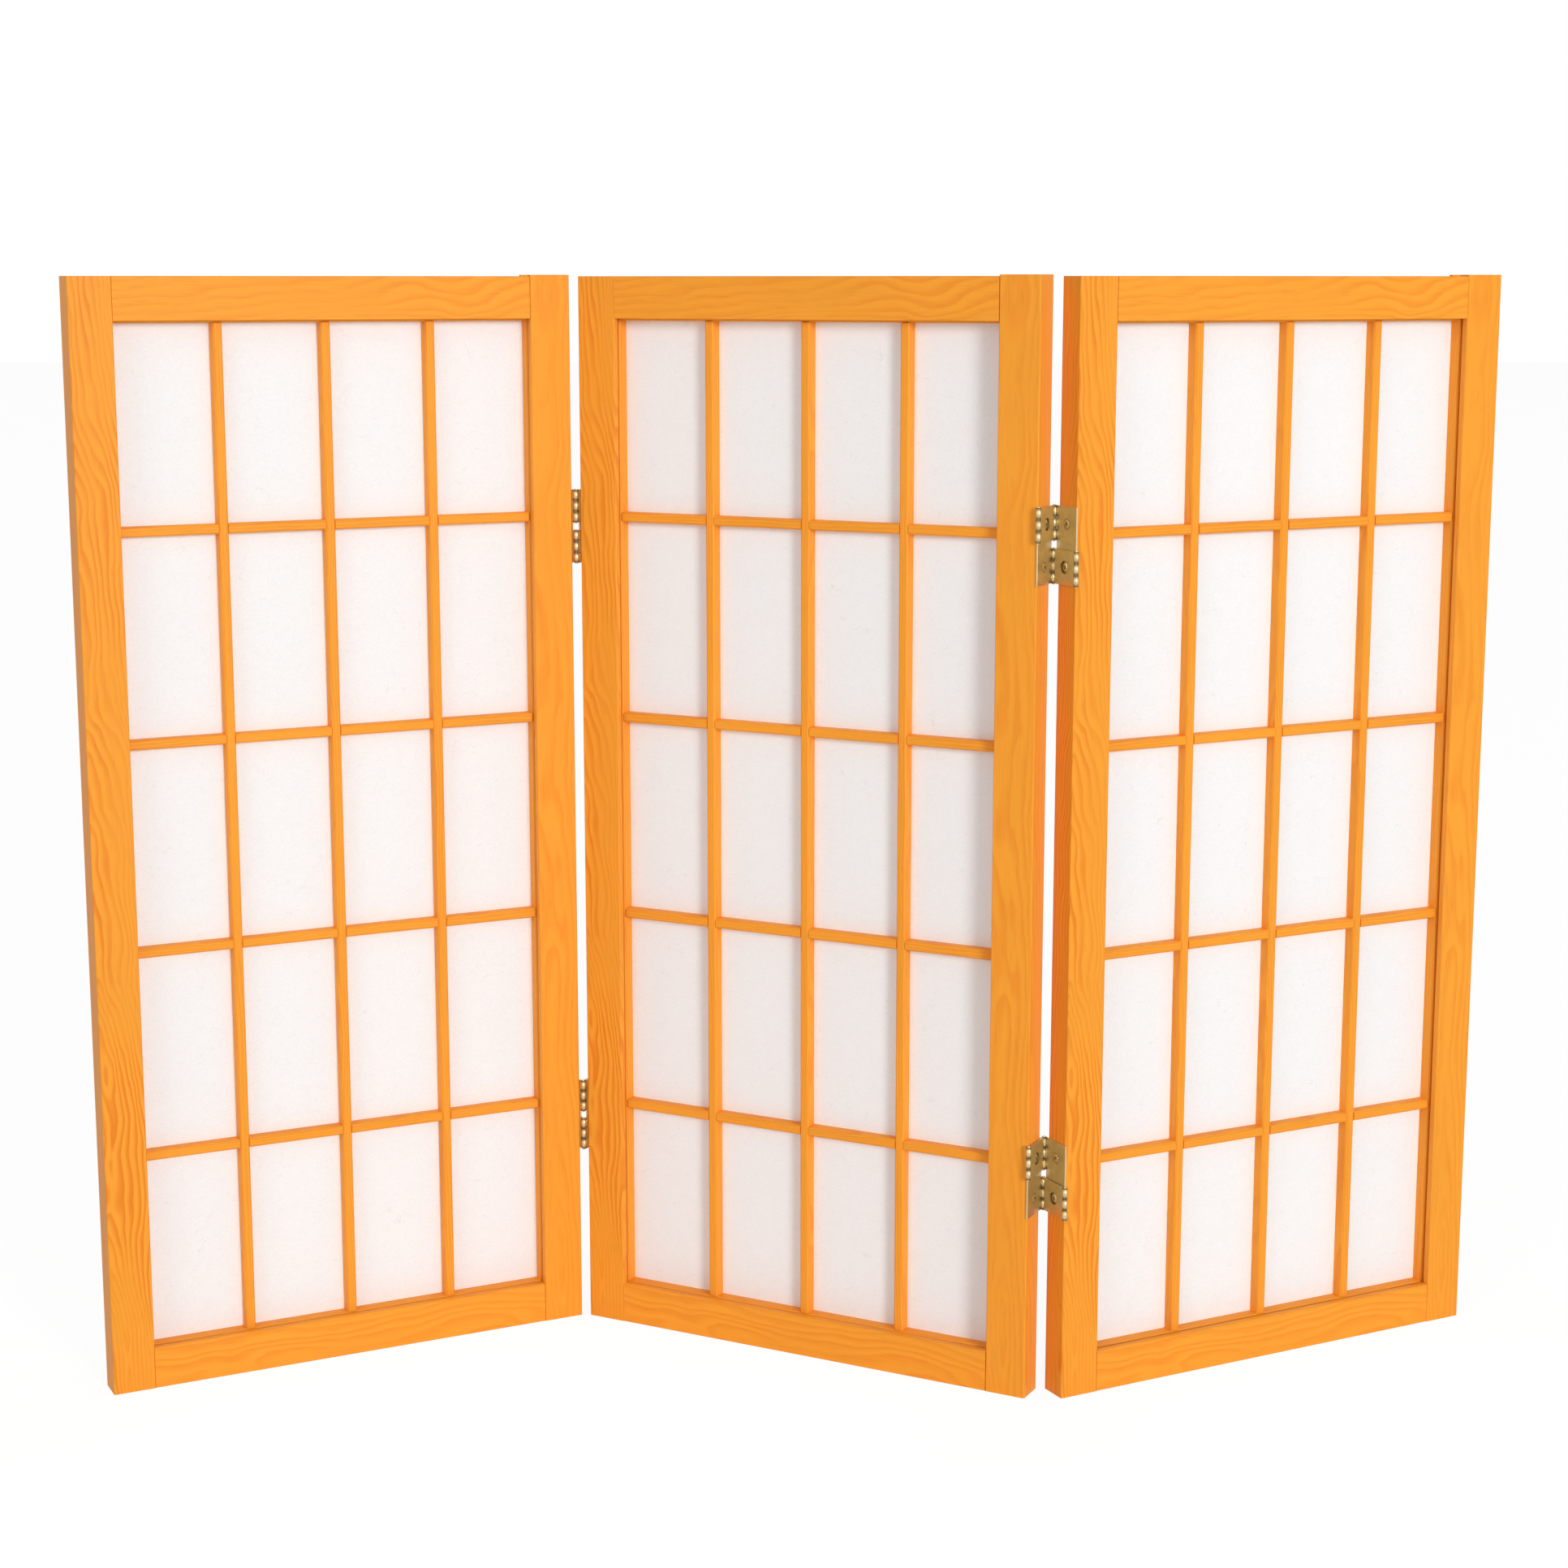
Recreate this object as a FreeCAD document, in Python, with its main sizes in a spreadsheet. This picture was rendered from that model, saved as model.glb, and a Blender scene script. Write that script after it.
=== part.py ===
import FreeCAD, Part
import math
import os
import Sketcher

# A three-panel folding screen that stands in a zigzag. Each panel is a mortised frame round a
# lattice of lapped bars backed with paper. Two double-action hinges join each pair of panels.
# Millimetres. Z is up, +X runs along the screen, +Y away from the viewer. The origin is on the
# floor under the middle of the centre panel.

# Driving sizes: name, value, meaning.
sizes_table = [
    ("panel_height", 914.4, "floor to the top of the left stile and the top rail"),
    ("panel_width", 419.1, "over both stiles"),
    ("frame_depth", 25.4, "front face to rear face of a panel"),
    ("stile_width", 34.925, "upright frame member, face width"),
    ("rail_height", 34.925, "top and bottom frame member, face height"),
    ("right_stile_rise", 1.2, "right stile stands this much above the top rail"),
    ("edge_break", 0.6, "bevel on the long edges of the frame"),
    ("front_lip", 5.7, "wood in front of the groove that holds the lattice"),
    ("tenon_length", 20.0, "rail tenon, beyond the shoulder"),
    ("tenon_shoulder", 5.0, "wood left outside the tenon's narrow edge"),
    ("tenon_setback", 3.0, "wood left between the tenon and the groove floor"),
    ("joint_gap", 0.05, "clearance of the glued wood joints"),
    ("open_seam", 0.4, "shoulders of the rails to the right stile"),
    ("seat_gap", 0.3, "clearance of the lattice in its groove"),
    ("bar_recess", 9.5, "panel front face to bar fronts"),
    ("bar_depth", 10.5, "front to back of a bar"),
    ("bar_width", 8.0, "face width of every bar"),
    ("bar_bevel", 1.2, "bevel on the front edges of the bars"),
    ("top_bar_show", 1.65, "how far the top edge bar shows below the top rail"),
    ("low_pane_trim", 5.0, "bottom row of panes is this much lower than a full row"),
    ("high_pane_trim", 3.4, "top row of panes is this much lower than a full row"),
    ("paper_thickness", 0.5, "laminated paper behind the bars"),
    ("hinge_height", 62.0, "leaf height"),
    ("upper_hinge_drop", 209.3, "top of the left stile to the upper hinge's middle"),
    ("lower_hinge_rise", 186.4, "floor to the lower hinge's middle"),
    ("barrel_length", 27.6, "each of the four barrels of a hinge"),
    ("flat_gap", 4.5, "between two panels opened flat"),
    ("axis_proud", 3.6, "barrel axis stands this far off the panel face"),
    ("plate_thickness", 1.2, "leaves and links"),
    ("knuckle_radius", 2.3, "at the knuckle's middle"),
    ("knuckle_taper", 0.4, "how much thinner a knuckle is at its ends"),
    ("knuckle_gap", 0.3, "between neighbouring knuckles"),
    ("plate_clearance", 0.35, "link plate to the other knuckles of its barrel"),
    ("pin_radius", 1.0, "hinge pin"),
    ("pin_clearance", 0.05, "running fit of pin and knuckle"),
    ("pin_show", 0.8, "pin past each end of its barrel"),
    ("screw_offset", 17.0, "hinge middle to a screw"),
    ("screw_length", 19.0, "head face to tip"),
    ("screw_head_radius", 3.8, "countersunk head"),
    ("screw_shank_radius", 1.6, "shank"),
    ("screw_tip_length", 4.0, "pointed end"),
    ("screw_tip_radius", 0.3, "blunt point"),
    ("screw_clearance", 0.05, "screw to leaf and to wood"),
    ("slot_width", 0.9, "cross slot in the head"),
    ("slot_length", 4.4, "cross slot in the head"),
    ("slot_depth", 0.8, "cross slot in the head"),
    ("access_radius", 4.8, "hole in a link over each screw head"),
    ("centre_yaw", -27.6, "degrees, centre panel as it stands"),
    ("left_fold", 54.0, "degrees, left panel from flat, fronts closing"),
    ("right_fold", 54.9, "degrees, right panel from flat, backs closing"),
]

pane_columns = 4
pane_rows = 5
countersink_angle = 90.0
top_to_bottom = (1, -1)

document = FreeCAD.newDocument("folding_screen")
sheet = document.addObject("Spreadsheet::Sheet", "Sizes")


class Size:
    """A length or angle that carries both its value and the sheet expression it comes from."""

    def __init__(self, value, text):
        self.value = float(value)
        self.text = text

    def __add__(self, other):
        other = as_size(other)
        return Size(self.value + other.value, f"({self.text} + {other.text})")

    def __sub__(self, other):
        other = as_size(other)
        return Size(self.value - other.value, f"({self.text} - {other.text})")

    def __mul__(self, other):
        other = as_size(other)
        return Size(self.value * other.value, f"({self.text} * {other.text})")

    def __truediv__(self, other):
        other = as_size(other)
        return Size(self.value / other.value, f"({self.text} / {other.text})")

    def __neg__(self):
        return Size(-self.value, f"(0 - {self.text})")

    __radd__ = __add__
    __rmul__ = __mul__


def as_size(number):
    return number if isinstance(number, Size) else Size(number, repr(float(number)))


def cosine(angle):
    return Size(math.cos(math.radians(angle.value)), f"cos({angle.text})")


def sine(angle):
    return Size(math.sin(math.radians(angle.value)), f"sin({angle.text})")


def arctangent(ratio):
    return Size(math.degrees(math.atan(ratio.value)), f"(atan({ratio.text}) / 1 deg)")


sheet_row = 0


def put_in_sheet(name, content, value, note):
    """Writes one row of the sheet and returns it as a Size."""
    global sheet_row
    sheet_row += 1
    sheet.set(f"A{sheet_row}", name)
    sheet.set(f"B{sheet_row}", content)
    sheet.setAlias(f"B{sheet_row}", name)
    sheet.set(f"C{sheet_row}", note)
    return Size(value, f"Sizes.{name}")


def derived(name, result, note):
    """A row worked out from the rows above it."""
    return put_in_sheet(name, "=" + result.text.replace("Sizes.", ""), result.value, note)


size = {name: put_in_sheet(name, str(value), value, note) for name, value, note in sizes_table}

# Derived sizes.
# Panel frame: X across the panel from its middle, Y from mid-depth (front is minus), Z from the
# floor.
half_width = derived("half_width", size["panel_width"] / 2, "panel middle to its edge")
front = derived("front_face", -size["frame_depth"] / 2, "front face of a panel")
rear = derived("rear_face", size["frame_depth"] / 2, "rear face of a panel")
half_opening = derived("half_opening", half_width - size["stile_width"], "panel middle to a stile")
right_stile_top = derived(
    "right_stile_top", size["panel_height"] + size["right_stile_rise"], "top of the right stile"
)
opening_top = derived("opening_top", size["panel_height"] - size["rail_height"], "under the top rail")
bar_front = derived("bar_front", front + size["bar_recess"], "front of the bars")
bar_back = derived("bar_back", bar_front + size["bar_depth"], "back of the bars")
bar_middle = derived("bar_middle", bar_front + size["bar_depth"] / 2, "where lapped bars meet")
paper_back = derived("paper_back", bar_back + size["paper_thickness"], "back of the paper")
groove_front = derived("groove_front", front + size["front_lip"], "front wall of the groove")
groove_back = derived("groove_back", paper_back + size["seat_gap"], "rear wall of the groove")
groove_depth = derived("groove_depth", size["bar_width"] + size["seat_gap"], "groove into the frame")
panes_bottom = derived("panes_bottom", size["rail_height"] + 0, "top of the bottom edge bar")
panes_top = derived("panes_top", opening_top - size["top_bar_show"], "under the top edge bar")
pane_width = derived(
    "pane_width",
    (half_opening * 2 - size["bar_width"] * (pane_columns - 1)) / pane_columns,
    "clear width of a pane",
)
pane_height = derived(
    "pane_height",
    (panes_top - panes_bottom - size["bar_width"] * (pane_rows - 1)
     + size["low_pane_trim"] + size["high_pane_trim"]) / pane_rows,
    "clear height of a full pane",
)
axis_out = derived("axis_out", size["flat_gap"] / 2, "panel edge to the barrel axes")
axis_depth = derived("axis_depth", rear + size["axis_proud"], "mid-depth to each barrel axis")
knuckle_height = derived(
    "knuckle_height", (size["barrel_length"] - size["knuckle_gap"] * 2) / 3, "one of three in a barrel"
)
upper_hinge_z = derived(
    "upper_hinge_z", size["panel_height"] - size["upper_hinge_drop"], "upper hinge's middle"
)
lower_hinge_z = derived("lower_hinge_z", size["lower_hinge_rise"] + 0, "lower hinge's middle")
bulge_radius = derived(
    "bulge_radius",
    (knuckle_height * knuckle_height / 4 + size["knuckle_taper"] * size["knuckle_taper"])
    / (size["knuckle_taper"] * 2),
    "of the arc along a knuckle's side",
)
tip_angle = derived(
    "tip_angle",
    arctangent((size["screw_shank_radius"] - size["screw_tip_radius"]) / size["screw_tip_length"]),
    "degrees, side of a screw's point",
)
barrel_offset = derived(
    "barrel_offset", (size["hinge_height"] - size["barrel_length"]) / 2, "hinge middle to a barrel's"
)


def panel_place(name, yaw, near_side, y_of_axis):
    """Where a side panel stands, so that its barrel axis lies on the centre panel's.

    near_side is the side of the centre panel that carries the hinges: -1 left, 1 right."""
    reach = (half_width + axis_out) * near_side
    x = cosine(size["centre_yaw"]) * reach - sine(size["centre_yaw"]) * y_of_axis
    y = sine(size["centre_yaw"]) * reach + cosine(size["centre_yaw"]) * y_of_axis
    x = x + cosine(yaw) * reach + sine(yaw) * y_of_axis
    y = y + sine(yaw) * reach - cosine(yaw) * y_of_axis
    return {
        "x": derived(name + "_x", x, name + " panel's middle"),
        "y": derived(name + "_y", y, name + " panel's middle"),
        "yaw": yaw,
    }


left_yaw = derived("left_yaw", size["centre_yaw"] + size["left_fold"], "degrees, left panel")
right_yaw = derived("right_yaw", size["centre_yaw"] + size["right_fold"], "degrees, right panel")
nowhere = as_size(0)
panels = {
    "left": panel_place("left", left_yaw, -1, -axis_depth),
    "centre": {"x": nowhere, "y": nowhere, "yaw": size["centre_yaw"]},
    "right": panel_place("right", right_yaw, 1, axis_depth),
}
document.recompute()

finished = []


# Helpers.
def bind(item, **expressions):
    """Binds properties to sheet expressions; a double underscore stands for a dot."""
    for path, result in expressions.items():
        item.setExpression(path.replace("__", "."), as_size(result).text)


def place_in_panel(item, panel, x=0, y=0, z=0, turn=0):
    """Puts item at panel coordinates, turned by 0 or 180 degrees about the panel's middle."""
    where = panels[panel]
    side = -1 if turn else 1
    x = as_size(x) * side
    y = as_size(y) * side
    bind(
        item,
        Placement__Base__x=where["x"] + cosine(where["yaw"]) * x - sine(where["yaw"]) * y,
        Placement__Base__y=where["y"] + sine(where["yaw"]) * x + cosine(where["yaw"]) * y,
        Placement__Base__z=z,
        Placement__Rotation__Angle=where["yaw"] + turn,
    )


def keep(item, label):
    """Marks item as a finished sub-part named label."""
    item.Label = label
    finished.append(item)
    return item


def new_body(label):
    body = document.addObject("PartDesign::Body", label + "_body")
    body.AllowCompound = True
    return keep(body, label)


def origin_plane(body, role):
    return [plane for plane in body.Origin.OriginFeatures if plane.Role == role][0]


def dimension(sketch, kind, point, length):
    """Fixes one coordinate of a sketch point to a sheet expression."""
    index = sketch.addConstraint(Sketcher.Constraint(kind, -1, 1, *point, length.value))
    sketch.setExpression(f"Constraints[{index}]", length.text)


def radius(sketch, edge, length):
    index = sketch.addConstraint(Sketcher.Constraint("Radius", edge, length.value))
    sketch.setExpression(f"Constraints[{index}]", length.text)


def polygon(sketch, corners, bulges=None):
    """A closed outline through corners [(x, y), ...]. bulges gives the edges that are arcs: the
    index of the edge's first corner, and how far the arc stands out, with its radius."""
    corners = [(as_size(x), as_size(y)) for x, y in corners]
    bulges = bulges or {}
    first = sketch.GeometryCount
    for index, (x, y) in enumerate(corners):
        end_x, end_y = corners[(index + 1) % len(corners)]
        start = FreeCAD.Vector(x.value, y.value, 0)
        end = FreeCAD.Vector(end_x.value, end_y.value, 0)
        edge = Part.LineSegment(start, end)
        if index in bulges:
            outward = FreeCAD.Vector(end.y - start.y, start.x - end.x, 0).normalize()
            edge = Part.Arc(start, (start + end) / 2 + outward * bulges[index][0].value, end)
        sketch.addGeometry(edge, False)
    for index, (x, y) in enumerate(corners):
        line = first + index
        following = first + (index + 1) % len(corners)
        sketch.addConstraint(Sketcher.Constraint("Coincident", line, 2, following, 1))
        dimension(sketch, "DistanceX", (line, 1), x)
        dimension(sketch, "DistanceY", (line, 1), y)
        if index in bulges:
            radius(sketch, line, bulges[index][1])


def draw(body, plane, outlines=(), circles=(), offset=(0, 0, 0)):
    """A sketch of closed outlines and circles (x, y, radius) on an origin plane."""
    sketch = body.newObject("Sketcher::SketchObject", body.Name + "_sketch")
    sketch.AttachmentSupport = (origin_plane(body, plane), "")
    sketch.MapMode = "FlatFace"
    bind(
        sketch,
        AttachmentOffset__Base__x=offset[0],
        AttachmentOffset__Base__y=offset[1],
        AttachmentOffset__Base__z=offset[2],
    )
    for outline in outlines:
        polygon(sketch, outline)
    for circle in circles:
        x, y, ring_radius = [as_size(number) for number in circle]
        centre = FreeCAD.Vector(x.value, y.value, 0)
        round_edge = Part.Circle(centre, FreeCAD.Vector(0, 0, 1), ring_radius.value)
        ring = sketch.addGeometry(round_edge, False)
        radius(sketch, ring, ring_radius)
        dimension(sketch, "DistanceX", (ring, 3), x)
        dimension(sketch, "DistanceY", (ring, 3), y)
    return sketch


def pad(body, sketch, length, both_ways=False, reverse=False):
    feature = body.newObject("PartDesign::Pad", body.Name + "_pad")
    feature.Profile = sketch
    feature.SideType = "Symmetric" if both_ways else "One side"
    feature.Reversed = reverse
    bind(feature, Length=length)
    return feature


def pocket(body, sketch, length, both_ways=False, reverse=False):
    feature = body.newObject("PartDesign::Pocket", body.Name + "_pocket")
    feature.Profile = sketch
    feature.SideType = "Symmetric" if both_ways else "One side"
    feature.Reversed = reverse
    bind(feature, Length=length)
    return feature


def rectangle(low_x, low_y, high_x, high_y):
    return [(low_x, low_y), (high_x, low_y), (high_x, high_y), (low_x, high_y)]


def channel(outer, inner, floor, low_y, high_y, groove_low, groove_high, bevel):
    """Cross-section of a frame member: outer face to inner face along X, its groove open at
    the inner face. bevel is signed towards the inner face."""
    return [
        (outer, low_y + size["edge_break"]),
        (outer + bevel, low_y),
        (inner - bevel, low_y),
        (inner, low_y + size["edge_break"]),
        (inner, groove_low),
        (floor, groove_low),
        (floor, groove_high),
        (inner, groove_high),
        (inner, high_y - size["edge_break"]),
        (inner - bevel, high_y),
        (outer + bevel, high_y),
        (outer, high_y - size["edge_break"]),
    ]


# Frame.
def tenon_heights():
    """Lowest and highest point of the bottom and top tenons."""
    low = (size["tenon_shoulder"], size["rail_height"] - groove_depth - size["tenon_setback"])
    highest = size["panel_height"] - size["tenon_shoulder"]
    high = (opening_top + groove_depth + size["tenon_setback"], highest)
    return [low, high]


def stile(panel, name, side, height, hinged):
    """An upright with the lattice groove, two mortises and, where hinged, screw holes."""
    body = new_body(f"{panel}_panel_{name}_stile")
    outline = channel(
        half_width * side, half_opening * side, (half_opening + groove_depth) * side,
        front, rear, groove_front, groove_back, -size["edge_break"] * side,
    )
    pad(body, draw(body, "XY_Plane", [outline]), height)
    mortises = [
        rectangle(groove_front, low - size["joint_gap"], groove_back, high + size["joint_gap"])
        for low, high in tenon_heights()
    ]
    reach = half_opening + size["tenon_length"] + size["joint_gap"]
    pocket(body, draw(body, "YZ_Plane", mortises), reach, reverse=side > 0)
    if hinged:
        screw_holes(body, side)
    place_in_panel(body, panel)


def screw_heights():
    """Heights of the four screws in one stile's edge."""
    return [
        middle + size["screw_offset"] * way
        for middle in (upper_hinge_z, lower_hinge_z)
        for way in top_to_bottom
    ]


def screw_holes(body, side):
    """Countersunk pilot holes in the edge of a stile, where the hinge leaves sit."""
    radius = size["screw_shank_radius"] + size["screw_clearance"]
    mouth = size["screw_head_radius"] - size["plate_thickness"] + size["screw_clearance"]
    depth = size["screw_length"] - size["plate_thickness"] + size["screw_clearance"]
    circles = [(0, height, radius) for height in screw_heights()]
    sketch = draw(body, "YZ_Plane", circles=circles, offset=(0, 0, half_width * side))
    pocket(body, sketch, depth, reverse=side < 0)
    sketch = draw(body, "YZ_Plane", circles=[(0, height, mouth) for height in screw_heights()],
                  offset=(0, 0, half_width * side))
    countersink = pocket(body, sketch, mouth - radius, reverse=side < 0)
    countersink.TaperAngle = -countersink_angle / 2


def rail(panel, name, outer, inner, tenon, upward):
    """A cross member with the lattice groove, haunches in the stile grooves, and tenons."""
    body = new_body(f"{panel}_panel_{name}_rail")
    floor = inner - groove_depth * upward
    profile = channel(
        outer, inner, floor, front, rear, groove_front, groove_back, size["edge_break"] * upward
    )
    profile = [(y, z) for z, y in profile]
    seam_shift = (0, 0, -size["open_seam"] / 2)
    sketch = draw(body, "YZ_Plane", [profile], offset=seam_shift)
    pad(body, sketch, half_opening * 2 - size["open_seam"], both_ways=True)
    tongue_front = groove_front + size["joint_gap"]
    tongue_back = groove_back - size["joint_gap"]
    haunch = rectangle(tongue_front, outer, tongue_back, floor)
    haunch_reach = half_opening + groove_depth - size["joint_gap"]
    pad(body, draw(body, "YZ_Plane", [haunch]), haunch_reach * 2, both_ways=True)
    tongue = rectangle(tongue_front, tenon[0], tongue_back, tenon[1])
    tongue_reach = half_opening + size["tenon_length"]
    pad(body, draw(body, "YZ_Plane", [tongue]), tongue_reach * 2, both_ways=True)
    place_in_panel(body, panel)


# Lattice and paper.
def column_centres():
    """X of the upright bars."""
    pitch = pane_width + size["bar_width"]
    return [-half_opening + pitch * (index + 1) - size["bar_width"] / 2
            for index in range(pane_columns - 1)]


def row_centres():
    """Z of the crossbars."""
    pitch = pane_height + size["bar_width"]
    lowest = panes_bottom - size["low_pane_trim"] + pitch - size["bar_width"] / 2
    return [lowest + pitch * index for index in range(pane_rows - 1)]


def bar_outline(centre):
    """Cross-section of a bar about centre, with the two front edges bevelled."""
    low = centre - size["bar_width"] / 2
    high = centre + size["bar_width"] / 2
    return [
        (low, bar_front + size["bar_bevel"]),
        (low + size["bar_bevel"], bar_front),
        (high - size["bar_bevel"], bar_front),
        (high, bar_front + size["bar_bevel"]),
        (high, bar_back),
        (low, bar_back),
    ]


def edge_bar_outline(inner, outward):
    """Cross-section of an edge bar: only the front edge towards the panes is bevelled."""
    return [
        (inner, bar_front + size["bar_bevel"]),
        (inner + size["bar_bevel"] * outward, bar_front),
        (inner + size["bar_width"] * outward, bar_front),
        (inner + size["bar_width"] * outward, bar_back),
        (inner, bar_back),
    ]


def side_edge_bar(panel, name, side):
    body = new_body(f"{panel}_panel_{name}_edge_bar")
    outline = edge_bar_outline(half_opening * side, side)
    bottom = panes_bottom - size["bar_width"]
    sketch = draw(body, "XY_Plane", [outline], offset=(0, 0, bottom))
    pad(body, sketch, panes_top + size["bar_width"] - bottom)
    place_in_panel(body, panel)


def level_edge_bar(panel, name, inner, outward):
    body = new_body(f"{panel}_panel_{name}_edge_bar")
    outline = [(y, z) for z, y in edge_bar_outline(inner, outward)]
    length = (half_opening - size["joint_gap"]) * 2
    pad(body, draw(body, "YZ_Plane", [outline]), length, both_ways=True)
    place_in_panel(body, panel)


def uprights(panel):
    """The upright bars, lapped from behind where the crossbars pass."""
    body = new_body(f"{panel}_panel_upright_bars")
    outlines = [bar_outline(centre) for centre in column_centres()]
    sketch = draw(body, "XY_Plane", outlines, offset=(0, 0, panes_bottom + size["joint_gap"]))
    pad(body, sketch, panes_top - panes_bottom - size["joint_gap"] * 2)
    half = size["bar_width"] / 2 + size["joint_gap"]
    laps = [
        rectangle(bar_middle - size["joint_gap"] / 2, centre - half, rear, centre + half)
        for centre in row_centres()
    ]
    pocket(body, draw(body, "YZ_Plane", laps), half_opening * 2, both_ways=True)
    place_in_panel(body, panel)


def crossbars(panel):
    """The crossbars, lapped from the front where the upright bars pass."""
    body = new_body(f"{panel}_panel_crossbars")
    outlines = [[(y, z) for z, y in bar_outline(centre)] for centre in row_centres()]
    length = (half_opening - size["joint_gap"]) * 2
    pad(body, draw(body, "YZ_Plane", outlines), length, both_ways=True)
    half = size["bar_width"] / 2 + size["joint_gap"]
    laps = [
        rectangle(centre - half, front, centre + half, bar_middle + size["joint_gap"] / 2)
        for centre in column_centres()
    ]
    pocket(body, draw(body, "XY_Plane", laps), size["panel_height"], reverse=True)
    place_in_panel(body, panel)


def paper(panel):
    body = new_body(f"{panel}_panel_paper")
    half = half_opening + size["bar_width"]
    sheet_outline = rectangle(
        -half, panes_bottom - size["bar_width"], half, panes_top + size["bar_width"]
    )
    sketch = draw(body, "XZ_Plane", [sheet_outline], offset=(0, 0, -bar_back))
    pad(body, sketch, size["paper_thickness"], reverse=True)
    place_in_panel(body, panel)


# Hinges.
# Edge frame: X out from the panel's edge, Y as in the panel, Z from the floor, or from the middle
# of the piece where it is made once and used at several heights. The pieces on a left-hand edge
# are the same ones turned half round.
#
# Each hinge has two full-height leaves and two half-height links. A leaf on a right-hand edge has
# its front knuckles in the upper half and its rear knuckles in the lower half, and a link joins
# the front axis of one leaf to the rear axis of the other. So the pair of panels turns about its
# front axes to close to the front, or about its rear axes to close to the back.
bore_radius = size["pin_radius"] + size["pin_clearance"]
pitch = knuckle_height + size["knuckle_gap"]
hinge_edges = {
    "left": {"outer": ("left", 0), "centre": ("centre", 180)},
    "right": {"outer": ("right", 180), "centre": ("centre", 0)},
}
hinge_levels = {"upper": upper_hinge_z, "lower": lower_hinge_z}


def knuckles(body, y, centres):
    """Knuckles with bulging sides about the barrel axis at depth y."""
    end_radius = size["knuckle_radius"] - size["knuckle_taper"]
    sketch = draw(body, "XZ_Plane", offset=(axis_out, 0, -y))
    for centre in centres:
        low = centre - knuckle_height / 2
        high = centre + knuckle_height / 2
        corners = [(0, low), (end_radius, low), (end_radius, high), (0, high)]
        polygon(sketch, corners, bulges={1: (size["knuckle_taper"], bulge_radius)})
    turned = body.newObject("PartDesign::Revolution", body.Name + "_knuckles")
    turned.Profile = sketch
    turned.ReferenceAxis = (sketch, ["V_Axis"])
    turned.Angle = 360


def bores(body):
    """Pin bores through the knuckles on both axes."""
    circles = [(axis_out, axis_depth * way, bore_radius) for way in (-1, 1)]
    pocket(body, draw(body, "XY_Plane", circles=circles), size["hinge_height"] * 2, both_ways=True)


def leaf(fold, level, owner):
    """A plate screwed to the panel's edge, with two knuckles in each of its barrels."""
    panel, turn = hinge_edges[fold][owner]
    body = new_body(f"{fold}_fold_{level}_{owner}_leaf")
    half_leaf = axis_depth - size["knuckle_radius"]
    half_tall = size["hinge_height"] / 2
    plate = rectangle(-half_leaf, -half_tall, half_leaf, half_tall)
    pad(body, draw(body, "YZ_Plane", [plate]), size["plate_thickness"])
    tab_end = axis_depth - size["pin_radius"] / 2
    tabs = []
    barrels = [(-1, barrel_offset), (1, -barrel_offset)]
    for way, middle in barrels:
        for centre in (middle - pitch, middle + pitch):
            low = centre - knuckle_height / 2
            high = centre + knuckle_height / 2
            tabs.append(rectangle(rear * way, low, tab_end * way, high))
    pad(body, draw(body, "YZ_Plane", tabs), size["plate_thickness"])
    for way, middle in barrels:
        knuckles(body, axis_depth * way, (middle - pitch, middle + pitch))
    bores(body)
    mouth = size["screw_head_radius"] + size["screw_clearance"]
    circles = [(0, size["screw_offset"] * way, mouth) for way in top_to_bottom]
    sketch = draw(body, "YZ_Plane", circles=circles, offset=(0, 0, size["plate_thickness"]))
    countersink = pocket(body, sketch, size["plate_thickness"])
    countersink.TaperAngle = -countersink_angle / 2
    place_in_panel(body, panel, half_width, 0, hinge_levels[level], turn)


def link(fold, level, owner, way):
    """A plate between two barrel axes, with one knuckle at each and a hole over the screw."""
    panel, turn = hinge_edges[fold][owner]
    body = new_body(f"{fold}_fold_{level}_{owner}_link")
    plate_start = axis_out - size["plate_thickness"] / 2
    half_link = axis_depth - size["knuckle_radius"] - size["plate_clearance"]
    half_tall = size["barrel_length"] / 2
    plate = rectangle(-half_link, -half_tall, half_link, half_tall)
    sketch = draw(body, "YZ_Plane", [plate], offset=(0, 0, plate_start))
    pad(body, sketch, size["plate_thickness"])
    tab = rectangle(-axis_depth, -knuckle_height / 2, axis_depth, knuckle_height / 2)
    sketch = draw(body, "YZ_Plane", [tab], offset=(0, 0, plate_start))
    pad(body, sketch, size["plate_thickness"])
    for side in (-1, 1):
        knuckles(body, axis_depth * side, (nowhere,))
    bores(body)
    access = (0, (size["screw_offset"] - barrel_offset) * way, size["access_radius"])
    pocket(body, draw(body, "YZ_Plane", circles=[access]), axis_out * 4, both_ways=True)
    height = hinge_levels[level] + barrel_offset * way
    place_in_panel(body, panel, half_width, 0, height, turn)


def pins(fold, owner):
    """The hinge pins held by one panel's leaves: two in each hinge."""
    panel, turn = hinge_edges[fold][owner]
    body = new_body(f"{fold}_fold_{owner}_pins")
    length = size["barrel_length"] + size["pin_show"] * 2
    for middle in hinge_levels.values():
        for way in top_to_bottom:
            circle = (axis_out, -axis_depth * way, size["pin_radius"])
            bottom = middle + barrel_offset * way - length / 2
            pad(body, draw(body, "XY_Plane", circles=[circle], offset=(0, 0, bottom)), length)
    place_in_panel(body, panel, half_width, 0, 0, turn)


def cross_outline(height):
    """The cross slot of a screw head."""
    long = size["slot_length"] / 2
    short = size["slot_width"] / 2
    corners = [
        (short, short), (long, short), (long, -short), (short, -short),
        (short, -long), (-short, -long), (-short, -short), (-long, -short),
        (-long, short), (-short, short), (-short, long), (short, long),
    ]
    return [(y, height + z) for y, z in corners]


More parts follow.
